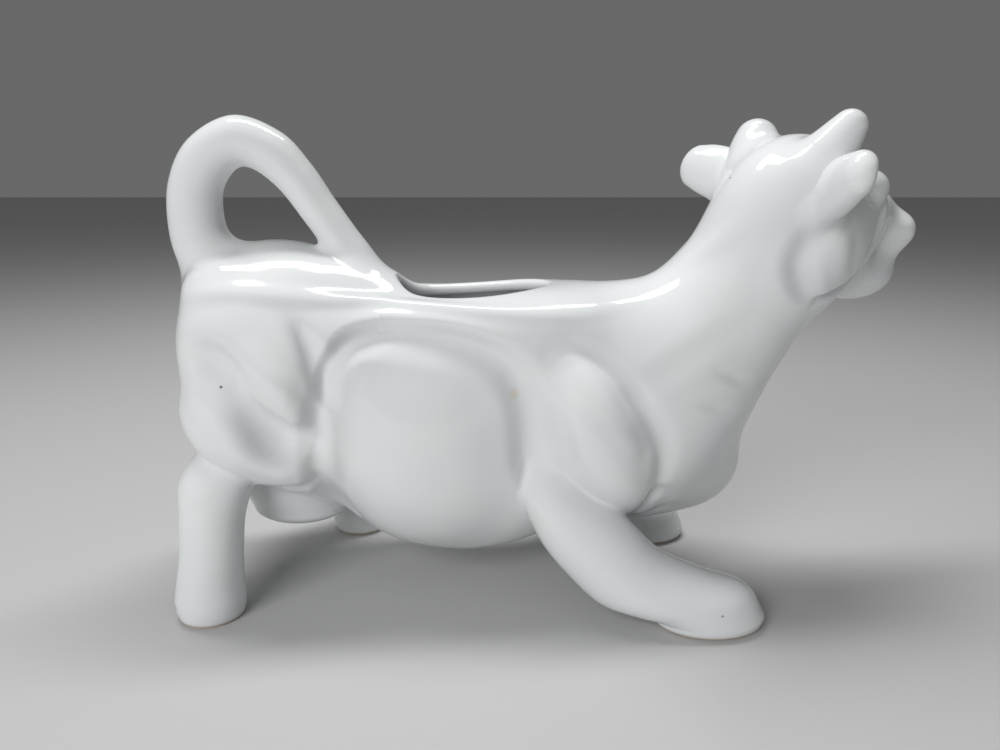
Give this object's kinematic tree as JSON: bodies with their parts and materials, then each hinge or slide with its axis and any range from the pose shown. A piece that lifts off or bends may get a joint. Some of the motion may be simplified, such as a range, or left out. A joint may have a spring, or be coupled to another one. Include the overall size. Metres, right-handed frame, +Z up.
{
  "type": "cow creamer",
  "caption": "White glazed porcelain cream jug in the shape of a standing cow: filled through the back, held by the looped tail and poured from the mouth",
  "frame": {"origin": "middle of the bounding box in plan, on the table under the feet", "axes": "+X from the rump to the nose, +Y to the cow's left, +Z up"},
  "size_m": [0.1997, 0.0734, 0.1268],
  "materials": {
    "glaze": "high-gloss cool white glaze",
    "glazed_leg": "high-gloss cool white glaze, wiped off the flat sole to bare warm white biscuit"
  },
  "bodies": {
    "root": {"body_shell": "glaze", "head_shell": "glaze", "tail_handle": "glaze", "udder": "glaze", "right_foreleg": "glazed_leg", "left_foreleg": "glazed_leg", "right_hind_leg": "glazed_leg", "left_hind_leg": "glazed_leg", "right_ear": "glaze", "left_ear": "glaze", "right_horn": "glaze", "left_horn": "glaze"}
  },
  "joints": []
}
